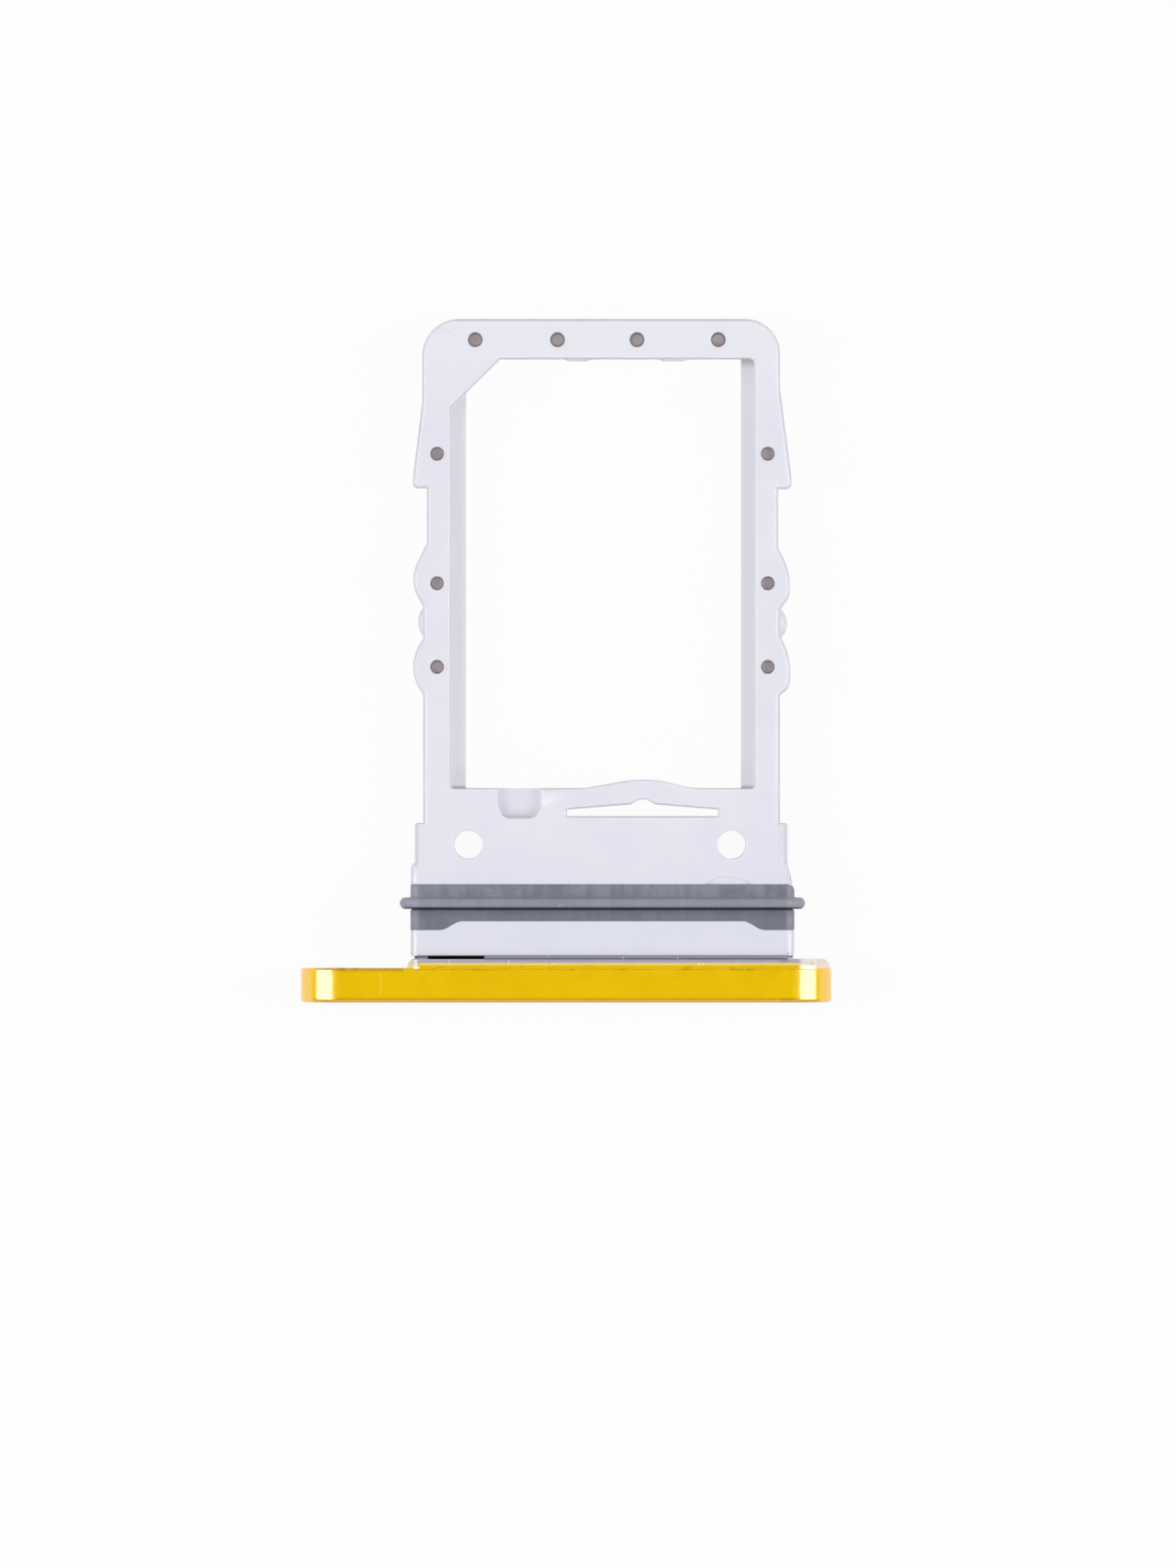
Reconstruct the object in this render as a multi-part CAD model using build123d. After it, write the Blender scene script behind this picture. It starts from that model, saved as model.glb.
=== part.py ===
from build123d import *
from collections import namedtuple
import os

# Card tray for a phone, in millimetres.
# X runs across the tray, Y from the cap to the far end of the card pocket, and Z up.
# The origin is the middle of the neck, in the plane of the cap's rear shoulder.

# The nano card that the tray carries, and its play in the pocket
CARD_WIDTH = 8.80
CARD_LENGTH = 12.30
CARD_THICKNESS = 0.67
PLAY_ACROSS = 0.07
PLAY_ALONG = 0.23
PLAY_DEEP = 0.03

# Heights
CAP_THICKNESS = 2.35
NECK_THICKNESS = 1.55
FRAME_THICKNESS = 1.00
INSERT_THICKNESS = 0.25
INSERT_BELOW_TOP = 0.375
TONGUE_THICKNESS = 0.70

# Widths
CAP_LENGTH = 15.50
CAP_CENTRE_X = -1.06
NECK_WIDTH = 11.19
WING_WIDTH = 10.89
WING_CENTRE_X = -0.037

# Places along the tray
CAP_DEPTH = 1.00
PAD_DEPTH = 0.27
NECK_START = 0.35
NECK_SHOULDER = 3.08
WING_END = 4.23
POCKET_START = 5.25
FRAME_END = 18.94
PLATE_ROOT = 3.20

# Heights worked out from those above
NECK_TOP = NECK_THICKNESS / 2
FRAME_BOTTOM = NECK_TOP - FRAME_THICKNESS
LEDGE_TOP = NECK_TOP - CARD_THICKNESS - PLAY_DEEP
INSERT_TOP = NECK_TOP - INSERT_BELOW_TOP
INSERT_BOTTOM = INSERT_TOP - INSERT_THICKNESS

# The pocket's half width and far wall
POCKET_REACH = (CARD_WIDTH + PLAY_ACROSS) / 2
POCKET_END = POCKET_START + CARD_LENGTH + PLAY_ALONG

# Bevels and roundings of the moulding's edges
TOP_BEVEL = 0.12
POCKET_BEVEL = 0.075
BOTTOM_BEVEL = 0.05
NECK_ROUND = 0.22
WING_ROUND = 0.27
SHOULDER_BEVEL = 0.11
INNER_ROUND = 0.08

# How far off a height an edge may be and still count as lying there
NEARLY = 0.001

# The neck's right-hand side leans in towards its shoulder
LEAN_START = 2.27
LEAN = 0.205

# How far each rail reaches from the middle: beside the pocket's near half, at the waist below the
# ear, and above the ear, where the frame's far corner is rounded
Rail = namedtuple("Rail", "near waist far corner")
RAILS = {-1: Rail(5.23, 5.12, 5.255, 1.06), 1: Rail(5.175, 5.125, 5.18, 1.00)}

# Barbed ear on each rail: where its slope starts, where it is widest, and its flat underside
Ear = namedtuple("Ear", "start reach widest heel")
EARS = {-1: Ear(16.55, 5.53, 14.28, 14.01), 1: Ear(16.90, 5.515, 14.33, 13.985)}
EAR_TIP_ROUND = 0.14
EAR_ROOT_ROUND = 0.05

# Friction bumps down each rail, from their near end to their far end. Each is rounded off at its
# peaks, given as a Y, a reach and a radius: the left-hand bumps are round, and the right-hand
# ones are flat-topped with a blunt near end.
Bump = namedtuple("Bump", "near far peaks")
BUMPS = {
    -1: [
        Bump(near=10.54, far=12.41, peaks=[(11.32, 5.65, 1.10)]),
        Bump(near=7.99, far=9.60, peaks=[(8.795, 5.82, 1.25)]),
    ],
    1: [
        Bump(near=10.45, far=12.26, peaks=[(10.84, 5.465, 0.40), (11.63, 5.465, 1.70)]),
        Bump(near=7.95, far=9.72, peaks=[(8.20, 5.48, 0.40), (9.09, 5.48, 1.76)]),
    ],
}
BUMP_ROOT_ROUND = 0.12

# Small low bump between the two friction bumps, a lens-shaped swelling of the lower edge
Lens = namedtuple("Lens", "centre length reach")
LENSES = {-1: Lens(10.11, 0.84, 5.385), 1: Lens(10.05, 0.92, 5.39)}
LENS_TOP = 0.42

# Card pocket: the corner cut that keys the card, the two ledges and the far wall's crush bumps
CORNER_CUT_ACROSS = 1.45
CORNER_CUT_ALONG = 1.43
POCKET_NEAR_ROUND = 0.10
POCKET_FAR_ROUND = 0.14
LEDGE_LEFT = 0.45
LEDGE_RIGHT = 0.39
CRUSH_BUMPS = ((-1.10, -0.34), (1.66, 2.48))
CRUSH_RISE = 0.055
CRUSH_RAMP = 0.10
CRUSH_TOP = 0.50

# Sprung near wall: its bulge into the pocket, and the slot that frees it
ARM_BULGE_START = -0.51
ARM_CREST_START = 0.89
ARM_CREST_END = 1.58
ARM_BULGE_END = 2.62
ARM_BULGE = 0.25
ARM_ROUND = 2.40
SLOT_LEFT = -1.04
SLOT_RIGHT = 3.39
SLOT_NEAR = 4.43
SLOT_FAR = 4.63
SLOT_MIDDLE_FAR = 4.785
SLOT_NOTCH_LEFT = 0.85
SLOT_NOTCH_RIGHT = 1.52
SLOT_NOTCH_TOP_LEFT = 1.06
SLOT_NOTCH_TOP_RIGHT = 1.31
SLOT_NOTCH_FAR = 4.925
SLOT_END_ROUND = 0.07
SLOT_NOTCH_ROUND = 0.32

# Thumb notch that lets a nail under the card
NOTCH_LEFT = -3.05
NOTCH_RIGHT = -1.81
NOTCH_NEAR = 4.385
NOTCH_TURN = 4.72
NOTCH_SLANT = 0.20
NOTCH_SIDE_ROUND = 0.45
NOTCH_END_ROUND = 0.25
NOTCH_DEPTH = 0.40
NOTCH_FLOOR_ROUND = 0.30

# Pin holes left by the pins that hold the insert in the mould
RIM_PIN_Y = 18.34
RIM_PIN_XS = (-3.71, -1.31, 1.01, 3.38)
RIM_PIN_RADIUS = 0.215
RAIL_PIN_REACH = 4.825
RAIL_PIN_YS = (15.01, 11.23, 8.79)
RAIL_PIN_RADIUS = 0.20
PIN_RIM_BEVEL = 0.045

# Tool holes through the neck
TOOL_HOLE_XS = (-3.92, 3.77)
TOOL_HOLE_Y = 3.60
TOOL_HOLE_RADIUS = 0.415
TOOL_HOLE_BEVEL = 0.04

# Shallow oval mark of the moulding gate, half under the seal
MARK_X = 3.67
MARK_Y = 2.17
MARK_REACH_X = 0.80
MARK_REACH_Y = 0.50
MARK_DEPTH = 0.05

# Steel insert: a ring of strip round the pocket, with a wider bar across the neck
INSERT_REACH = 5.07
INSERT_STRIP = 0.50
INSERT_START = 1.95
INSERT_BAR_END = 2.95
INSERT_END = 18.59
INSERT_CORNER = 0.50
INSERT_INNER_CORNER = 0.20

# Seal: a sleeve let into the neck, with a lip round it and a scooped near edge
SEAL_START = 1.11
SEAL_SCOOP = 1.37
SEAL_END = 2.45
SEAL_DEPTH = 0.25
SEAL_FLOOR_ROUND = 0.05
SCOOP_FOOT = 4.62
SCOOP_HEAD = 4.22
SCOOP_ROUND = 0.50
LIP_CENTRE = 1.905
LIP_WIDTH = 0.335
LIP_RISE = 0.32
LIP_ROUND = 0.155

# Cap: its edges, the eject hole, and the pad and tongue on its back
CAP_FRONT_ROUND = 0.09
CAP_REAR_BEVEL = 0.05
EJECT_FROM_END = 1.21
EJECT_Z = 0.13
EJECT_RADIUS = 0.52
EJECT_FLARE = 0.17
PAD_LEFT = -5.70
PAD_INSET = 0.03
PAD_LEFT_ROUND = 0.45
PAD_EDGE_ROUND = 0.24
TONGUE_LEFT = -3.45
TONGUE_RIGHT = 5.00
TONGUE_END = 1.75
TONGUE_WINDOWS = (-2.20, 3.00)
TONGUE_WINDOW_LENGTH = 1.50
TONGUE_WINDOW_START = 0.70
TONGUE_WINDOW_END = 1.40

# Closing strip of the neck behind the pad, and the open pocket beside the tongue
STRIP_LEFT = -5.48
STRIP_RIGHT = 5.55
STRIP_DROP = 0.12
VOID_LEFT = -5.08
VOID_FLOOR = -0.40


def filleted_face(corners):
    """A flat face from corners, each an X, a Y and the radius it is rounded to."""
    points = [(x, y) for x, y, radius in corners]
    radii = [radius for x, y, radius in corners]
    return make_face(FilletPolyline(*points, radius=radii, close=True))


def along_y(section, start, end):
    """A section drawn in X and Z, carried from one Y to another."""
    return extrude(Plane.XZ.offset(-end) * section, end - start)


def along_z(outline, bottom, top):
    """An outline drawn in X and Y, carried from one height to another."""
    return extrude(Pos(0, 0, bottom) * outline, top - bottom)


def block(left, right, start, end, bottom, top):
    """A plain block between two Xs, two Ys and two Zs."""
    return Pos(left, start, bottom) * Box(
        right - left, end - start, top - bottom, align=(Align.MIN, Align.MIN, Align.MIN)
    )


def edges_at_height(shape, height):
    """The edges of a shape that lie at one height."""
    return shape.edges().filter_by_position(Axis.Z, height - NEARLY, height + NEARLY)


def rail_corners(side):
    """Corners of one rail's outer edge, from the neck to the frame's far end."""
    first, second = BUMPS[side]
    ear = EARS[side]
    rail = RAILS[side]
    corners = [(side * rail.near, PLATE_ROOT, 0)]
    corners += bump_corners(side, second, rail.near, rail.near)
    corners += bump_corners(side, first, rail.near, rail.waist)
    corners += [
        (side * rail.waist, ear.heel, EAR_ROOT_ROUND),
        (side * ear.reach, ear.heel, EAR_TIP_ROUND),
        (side * ear.reach, ear.widest, BUMP_ROOT_ROUND),
        (side * rail.far, ear.start, BUMP_ROOT_ROUND),
        (side * rail.far, FRAME_END, rail.corner),
    ]
    return corners


def bump_corners(side, bump, near_reach, far_reach):
    """Corners of one friction bump, from its near end to its far end."""
    corners = [(side * near_reach, bump.near, BUMP_ROOT_ROUND)]
    corners += [(side * reach, y, radius) for y, reach, radius in bump.peaks]
    corners += [(side * far_reach, bump.far, BUMP_ROOT_ROUND)]
    return corners


def frame_outline():
    """The frame's outer edge, seen from above."""
    return filleted_face(rail_corners(-1) + rail_corners(1)[::-1])


def pocket_outline():
    """The card pocket's walls, with the keyed corner and the sprung wall's bulge."""
    crest = POCKET_START + ARM_BULGE
    return filleted_face(
        [
            (-POCKET_REACH, POCKET_START, POCKET_NEAR_ROUND),
            (-POCKET_REACH, POCKET_END - CORNER_CUT_ALONG, INNER_ROUND),
            (-POCKET_REACH + CORNER_CUT_ACROSS, POCKET_END, INNER_ROUND),
            (POCKET_REACH, POCKET_END, POCKET_FAR_ROUND),
            (POCKET_REACH, POCKET_START, POCKET_NEAR_ROUND),
            (ARM_BULGE_END, POCKET_START, ARM_ROUND),
            (ARM_CREST_END, crest, ARM_ROUND),
            (ARM_CREST_START, crest, ARM_ROUND),
            (ARM_BULGE_START, POCKET_START, ARM_ROUND),
        ]
    )


def window_outline():
    """The opening through the pocket's floor, which leaves a ledge down each side."""
    width = 2 * POCKET_REACH - LEDGE_LEFT - LEDGE_RIGHT
    past_both_ends = 2 * CARD_LENGTH
    middle = (POCKET_START + POCKET_END) / 2
    between_ledges = Pos((LEDGE_LEFT - LEDGE_RIGHT) / 2, middle) * Rectangle(width, past_both_ends)
    return pocket_outline() & between_ledges


def slot_outline():
    """The slot behind the sprung wall, thicker at its middle."""
    return filleted_face(
        [
            (SLOT_LEFT, SLOT_NEAR, SLOT_END_ROUND),
            (SLOT_LEFT, SLOT_FAR, SLOT_END_ROUND),
            (SLOT_NOTCH_LEFT, SLOT_MIDDLE_FAR, INNER_ROUND),
            (SLOT_NOTCH_TOP_LEFT, SLOT_NOTCH_FAR, SLOT_NOTCH_ROUND),
            (SLOT_NOTCH_TOP_RIGHT, SLOT_NOTCH_FAR, SLOT_NOTCH_ROUND),
            (SLOT_NOTCH_RIGHT, SLOT_MIDDLE_FAR, INNER_ROUND),
            (SLOT_RIGHT, SLOT_FAR, SLOT_END_ROUND),
            (SLOT_RIGHT, SLOT_NEAR, SLOT_END_ROUND),
        ]
    )


def thumb_notch():
    """The scoop beside the sprung wall, open to the pocket, whose floor curves up at its near end."""
    mouth = POCKET_START + NOTCH_DEPTH
    floor = NECK_TOP - NOTCH_DEPTH
    outline = filleted_face(
        [
            (NOTCH_LEFT, mouth, 0),
            (NOTCH_LEFT, NOTCH_TURN, NOTCH_SIDE_ROUND),
            (NOTCH_LEFT + NOTCH_SLANT, NOTCH_NEAR, NOTCH_END_ROUND),
            (NOTCH_RIGHT - NOTCH_SLANT, NOTCH_NEAR, NOTCH_END_ROUND),
            (NOTCH_RIGHT, NOTCH_TURN, NOTCH_SIDE_ROUND),
            (NOTCH_RIGHT, mouth, 0),
        ]
    )
    scoop = block(NOTCH_LEFT, NOTCH_RIGHT, NOTCH_NEAR, mouth, floor, NECK_TOP)
    near_end = edges_at_height(scoop, floor).filter_by(Axis.X).sort_by(Axis.Y)[0]
    scoop = fillet(near_end, NOTCH_FLOOR_ROUND)
    return scoop & along_z(outline, floor, NECK_TOP)


def crush_bumps():
    """Two low ribs on the far wall that take up the card's play."""
    wall = POCKET_END + CRUSH_RISE
    ribs = []
    for left, right in CRUSH_BUMPS:
        plan = Polyline(
            (left, wall),
            (left, POCKET_END),
            (left + CRUSH_RAMP, POCKET_END - CRUSH_RISE),
            (right - CRUSH_RAMP, POCKET_END - CRUSH_RISE),
            (right, POCKET_END),
            (right, wall),
            close=True,
        )
        rib = along_z(make_face(plan), FRAME_BOTTOM, CRUSH_TOP)
        nose = [e for e in edges_at_height(rib, CRUSH_TOP) if e.center().Y < POCKET_END]
        ribs.append(chamfer(nose, CRUSH_RISE / 2))
    return ribs


def lens_bumps():
    """The small low swelling between the friction bumps, one on each rail."""
    lenses = []
    for side, lens in LENSES.items():
        near = lens.centre - lens.length / 2
        far = lens.centre + lens.length / 2
        face = side * RAILS[side].near
        rail_middle = (side * POCKET_REACH + face) / 2
        arc = ThreePointArc((face, near), (side * lens.reach, lens.centre), (face, far))
        back = Polyline((face, far), (rail_middle, far), (rail_middle, near), (face, near))
        swelling = along_z(make_face(arc + back), FRAME_BOTTOM, LENS_TOP)
        rim = edges_at_height(swelling, LENS_TOP).filter_by(GeomType.CIRCLE)
        lenses.append(chamfer(rim, TOP_BEVEL))
    return lenses


def frame_plate():
    """The flat frame: outline, pocket, ledges, slot and thumb notch, with bevelled edges."""
    plate = along_z(frame_outline(), FRAME_BOTTOM, NECK_TOP)
    outer_top = [e for e in edges_at_height(plate, NECK_TOP) if e.center().Y > PLATE_ROOT + TOP_BEVEL]
    plate = chamfer(outer_top, TOP_BEVEL)
    outer_bottom = [
        e for e in edges_at_height(plate, FRAME_BOTTOM) if e.center().Y > PLATE_ROOT + TOP_BEVEL
    ]
    plate = chamfer(outer_bottom, BOTTOM_BEVEL)
    plate -= along_z(pocket_outline(), LEDGE_TOP, NECK_TOP)
    plate -= along_z(window_outline(), FRAME_BOTTOM, NECK_TOP)
    plate -= along_z(slot_outline(), FRAME_BOTTOM, NECK_TOP)
    plate -= thumb_notch()
    inner_top = [
        e
        for e in edges_at_height(plate, NECK_TOP)
        if abs(e.center().X) < POCKET_REACH + NEARLY and WING_END < e.center().Y < POCKET_END + NEARLY
    ]
    return chamfer(inner_top, POCKET_BEVEL)


def neck_section(width, radius):
    """The neck's section across the tray."""
    return RectangleRounded(width, NECK_THICKNESS, radius)


def neck_sleeve():
    """The neck's full-width body, which leans in at its right-hand shoulder."""
    sleeve = along_y(neck_section(NECK_WIDTH, NECK_ROUND), NECK_START, NECK_SHOULDER)
    sleeve = chamfer(sleeve.faces().sort_by(Axis.Y)[-1].edges(), SHOULDER_BEVEL)
    side = NECK_WIDTH / 2
    leaning = Polyline(
        (side, LEAN_START),
        (side - LEAN, NECK_SHOULDER),
        (side + LEAN, NECK_SHOULDER),
        (side + LEAN, LEAN_START),
        close=True,
    )
    return sleeve - along_z(make_face(leaning), -NECK_TOP, NECK_TOP)


def neck_body():
    """The thick neck: its full-width body, and the narrower wings that run on to the frame."""
    wings = Pos(WING_CENTRE_X) * neck_section(WING_WIDTH, WING_ROUND)
    core = along_y(wings, NECK_START, WING_END)
    core = chamfer(core.faces().sort_by(Axis.Y)[-1].edges(), BOTTOM_BEVEL)
    return core + neck_sleeve()


def closing_strip():
    """The low strip that fills the joint behind the pad, with the open pocket beside the tongue."""
    low = NECK_TOP - STRIP_DROP
    strip = block(STRIP_LEFT, STRIP_RIGHT, PAD_DEPTH, NECK_START, -low, low)
    return strip - block(VOID_LEFT, TONGUE_LEFT, PAD_DEPTH, NECK_START, VOID_FLOOR, low)


def pin_holes():
    """Places and radii of the ten pin holes round the rim."""
    rim = [(x, RIM_PIN_Y, RIM_PIN_RADIUS) for x in RIM_PIN_XS]
    rails = [(side * RAIL_PIN_REACH, y, RAIL_PIN_RADIUS) for side in (-1, 1) for y in RAIL_PIN_YS]
    return rim + rails


def hole_with_bevelled_rim(shape, x, y, radius, bottom, rim_height, bevel):
    """Cut an upright hole up to a flat top, and bevel its rim."""
    shape -= along_z(Pos(x, y) * Circle(radius), bottom, rim_height)
    rim = [
        e
        for e in edges_at_height(shape, rim_height).filter_by(GeomType.CIRCLE)
        if (e.arc_center - Vector(x, y, rim_height)).length < bevel
    ]
    return chamfer(rim, bevel)


def seal_band():
    """The sleeve of the seal, flush with the neck, with its near edge scooped on both faces."""
    side = NECK_WIDTH / 2
    band = neck_sleeve() & block(-side, side, SEAL_START, SEAL_END, -NECK_TOP, NECK_TOP)
    floor = RectangleRounded(
        NECK_WIDTH - 2 * SEAL_DEPTH, NECK_THICKNESS - 2 * SEAL_DEPTH, SEAL_FLOOR_ROUND
    )
    band -= along_y(floor, SEAL_START, SEAL_END)
    below = SEAL_START - SEAL_DEPTH
    scoop = filleted_face(
        [
            (-side, below, 0),
            (-side, SEAL_START, 0),
            (-SCOOP_FOOT, SEAL_START, SCOOP_ROUND),
            (-SCOOP_HEAD, SEAL_SCOOP, SCOOP_ROUND),
            (SCOOP_HEAD, SEAL_SCOOP, SCOOP_ROUND),
            (SCOOP_FOOT, SEAL_START, SCOOP_ROUND),
            (side, SEAL_START, 0),
            (side, below, 0),
        ]
    )
    return band - along_z(scoop, -NECK_TOP, NECK_TOP)


def seal_lip():
    """The lip round the seal, with a round tip."""
    section = RectangleRounded(
        NECK_WIDTH + 2 * LIP_RISE, NECK_THICKNESS + 2 * LIP_RISE, NECK_ROUND + LIP_RISE
    )
    lip = along_y(section, LIP_CENTRE - LIP_WIDTH / 2, LIP_CENTRE + LIP_WIDTH / 2)
    round_the_lip = [e for e in lip.edges() if e.bounding_box().size.Y < NEARLY]
    lip = fillet(round_the_lip, LIP_ROUND)
    return lip - along_y(neck_section(NECK_WIDTH, NECK_ROUND), SEAL_START, SEAL_END)


def make_steel_insert():
    """The stamped frame: one ring of flat strip."""
    middle = (INSERT_START + INSERT_END) / 2
    outer = Pos(0, middle) * RectangleRounded(
        2 * INSERT_REACH, INSERT_END - INSERT_START, INSERT_CORNER
    )
    inner_end = INSERT_END - INSERT_STRIP
    inner = Pos(0, (INSERT_BAR_END + inner_end) / 2) * RectangleRounded(
        2 * (INSERT_REACH - INSERT_STRIP), inner_end - INSERT_BAR_END, INSERT_INNER_CORNER
    )
    return along_z(outer - inner, INSERT_BOTTOM, INSERT_TOP)


def make_seal():
    """The silicone sleeve and its lip, one piece."""
    return seal_band() + seal_lip()


def make_cap():
    """The metal cap: rounded bar, eject hole, pad and tongue."""
    bar = Pos(CAP_CENTRE_X) * SlotOverall(CAP_LENGTH, CAP_THICKNESS)
    cap = along_y(bar, -CAP_DEPTH, 0)
    cap = fillet(cap.faces().sort_by(Axis.Y)[0].edges(), CAP_FRONT_ROUND)
    cap = chamfer(cap.faces().sort_by(Axis.Y)[-1].edges(), CAP_REAR_BEVEL)
    cap += pad()
    cap += tongue()
    eject_x = CAP_CENTRE_X - CAP_LENGTH / 2 + EJECT_FROM_END
    hole = Pos(eject_x, EJECT_Z) * Circle(EJECT_RADIUS)
    cap -= along_y(hole, -CAP_DEPTH, 0)
    mouth = [
        e
        for e in cap.edges().filter_by(GeomType.CIRCLE)
        if abs(e.radius - EJECT_RADIUS) < CAP_REAR_BEVEL and e.center().Y < -CAP_DEPTH / 2
    ]
    return chamfer(mouth, EJECT_FLARE)


def pad():
    """The raised pad behind the cap, round at its right end and squarer at its left."""
    right = CAP_CENTRE_X + CAP_LENGTH / 2 - PAD_INSET
    half = CAP_THICKNESS / 2 - PAD_INSET
    section = filleted_face(
        [
            (PAD_LEFT, -half, PAD_LEFT_ROUND),
            (right, -half, half - PAD_INSET),
            (right, half, half - PAD_INSET),
            (PAD_LEFT, half, PAD_LEFT_ROUND),
        ]
    )
    body = along_y(section, -CAP_REAR_BEVEL, PAD_DEPTH)
    return fillet(body.faces().sort_by(Axis.Y)[-1].edges(), PAD_EDGE_ROUND)


def tongue():
    """The flat tongue that the neck is moulded round, with two windows that lock it."""
    half = TONGUE_THICKNESS / 2
    plate = block(TONGUE_LEFT, TONGUE_RIGHT, 0, TONGUE_END, -half, half)
    for centre in TONGUE_WINDOWS:
        left = centre - TONGUE_WINDOW_LENGTH / 2
        plate -= block(
            left, left + TONGUE_WINDOW_LENGTH, TONGUE_WINDOW_START, TONGUE_WINDOW_END, -half, half
        )
    return plate


def make_carrier(insert, cap):
    """The plastic moulding: frame and neck, moulded round the insert and the cap's tongue."""
    carrier = frame_plate() + neck_body()
    for extra in crush_bumps() + lens_bumps():
        carrier += extra
    mark = Pos(MARK_X, MARK_Y) * Ellipse(MARK_REACH_X, MARK_REACH_Y)
    carrier -= along_z(mark, NECK_TOP - MARK_DEPTH, NECK_TOP)
    carrier -= seal_band()
    carrier += closing_strip()
    carrier -= insert
    carrier -= cap
    for x, y, radius in pin_holes():
        carrier = hole_with_bevelled_rim(
            carrier, x, y, radius, INSERT_TOP, NECK_TOP, PIN_RIM_BEVEL
        )
    for x in TOOL_HOLE_XS:
        carrier = hole_with_bevelled_rim(
            carrier,
            x,
            TOOL_HOLE_Y,
            TOOL_HOLE_RADIUS,
            -NECK_TOP,
            NECK_TOP,
            TOOL_HOLE_BEVEL,
        )
    return carrier


def main():
    os.makedirs("parts", exist_ok=True)
    insert = make_steel_insert()
    cap = make_cap()
    export_step(make_carrier(insert, cap), "parts/carrier.step")
    export_step(insert, "parts/steel_insert.step")
    export_step(make_seal(), "parts/seal.step")
    export_step(cap, "parts/cap.step")


main()
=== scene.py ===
import math
from collections import namedtuple

import bmesh
import bpy
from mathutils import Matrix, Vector


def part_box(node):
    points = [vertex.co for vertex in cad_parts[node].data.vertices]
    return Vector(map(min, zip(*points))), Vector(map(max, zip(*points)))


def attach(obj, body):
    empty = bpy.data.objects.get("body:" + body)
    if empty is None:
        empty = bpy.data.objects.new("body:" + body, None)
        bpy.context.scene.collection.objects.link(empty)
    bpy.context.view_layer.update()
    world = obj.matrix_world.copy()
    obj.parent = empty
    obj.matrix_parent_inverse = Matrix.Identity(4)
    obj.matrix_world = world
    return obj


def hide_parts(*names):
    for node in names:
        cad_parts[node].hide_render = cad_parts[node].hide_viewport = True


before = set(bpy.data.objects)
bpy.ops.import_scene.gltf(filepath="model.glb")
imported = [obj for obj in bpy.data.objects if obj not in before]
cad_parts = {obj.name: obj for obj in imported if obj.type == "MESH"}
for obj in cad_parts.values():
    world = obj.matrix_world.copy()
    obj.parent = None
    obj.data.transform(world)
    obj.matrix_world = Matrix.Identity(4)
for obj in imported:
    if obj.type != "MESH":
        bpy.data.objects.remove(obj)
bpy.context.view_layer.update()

# Sizes are written in millimetres and multiplied by this, because the scene is in metres
MM = 0.001

# The CAD model's own measures
CARRIER_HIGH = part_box("carrier")[1]
CAP_LOW, CAP_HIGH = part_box("cap")
SEAL_LOW, SEAL_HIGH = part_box("seal")
NECK_TOP = CARRIER_HIGH.z / MM
NECK_REACH = CARRIER_HIGH.x / MM
SEAL_START = SEAL_LOW.y / MM
SEAL_END = SEAL_HIGH.y / MM
LIP_RISE = SEAL_HIGH.x / MM - NECK_REACH
FLOOR_HEIGHT = CAP_LOW.z / MM
CAP_TOP = CAP_HIGH.z / MM

# The camera looks straight down, with the far end of the tray at the top of the picture
CAMERA_X = -0.421
CAMERA_Y = 5.373
CAMERA_RISE = 500.0
CAMERA_REACH = 10000.0
PICTURE_LENGTH = 45.75
SENSOR = 36.0

# The light: a bright softbox to each side with a glow round it, dimmer ones past both ends, and a dark
# surround
SIDE_DISTANCE = 225.0
SIDE_HEIGHT = 190.0
SIDE_LENGTH = 95.0
SIDE_BREADTH = 255.0
SIDE_RADIANCE = 6.25
GLOW_LENGTH = 250.0
GLOW_BREADTH = 400.0
GLOW_RADIANCE = 0.5
GLOW_BEHIND = 1.2
END_DISTANCE = 230.0
END_HEIGHT = 230.0
END_LENGTH = 300.0
END_BREADTH = 150.0
END_RADIANCE = 1.65
SURROUND = 0.015
FLOOR_SIDE = 2000.0
FLOOR_SEEN_WHITE = 0.99
FLOOR_SEEN_SHARE = 0.96
FLOOR_WHITE = 0.86


# The curve of screen values: a straight foot, then a power
SCREEN_WHITE = 255
CURVE_FOOT = 0.04045
CURVE_SLOPE = 12.92
CURVE_OFFSET = 0.055
CURVE_POWER = 2.4


def srgb(red, green, blue):
    """A colour given in screen values from 0 to 255, as the linear colour that shaders take."""
    linear = []
    for value in (red, green, blue):
        share = value / SCREEN_WHITE
        curved = ((share + CURVE_OFFSET) / (1 + CURVE_OFFSET)) ** CURVE_POWER
        linear.append(share / CURVE_SLOPE if share <= CURVE_FOOT else curved)
    return (*linear, 1.0)


# Colours
PLASTIC_COOL = srgb(226, 226, 238)
PLASTIC_WARM = srgb(230, 229, 238)
# Painted shade by the seal and painted light at the moulding's far end
PLASTIC_NEAR_SHADE = srgb(219, 220, 233)
PLASTIC_FAR_LIGHT = srgb(233, 233, 241)
# The ledge and edge colours are painted light and a painted highlight; the ledge shade and the flank
# colour are painted shade
PLASTIC_LEDGE_LIGHT = srgb(238, 237, 243)
PLASTIC_EDGE_HIGHLIGHT = srgb(250, 250, 252)
LEDGE_SHADE = srgb(205, 198, 200)
PLASTIC_FLANK_SHADE = srgb(212, 210, 228)
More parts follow.
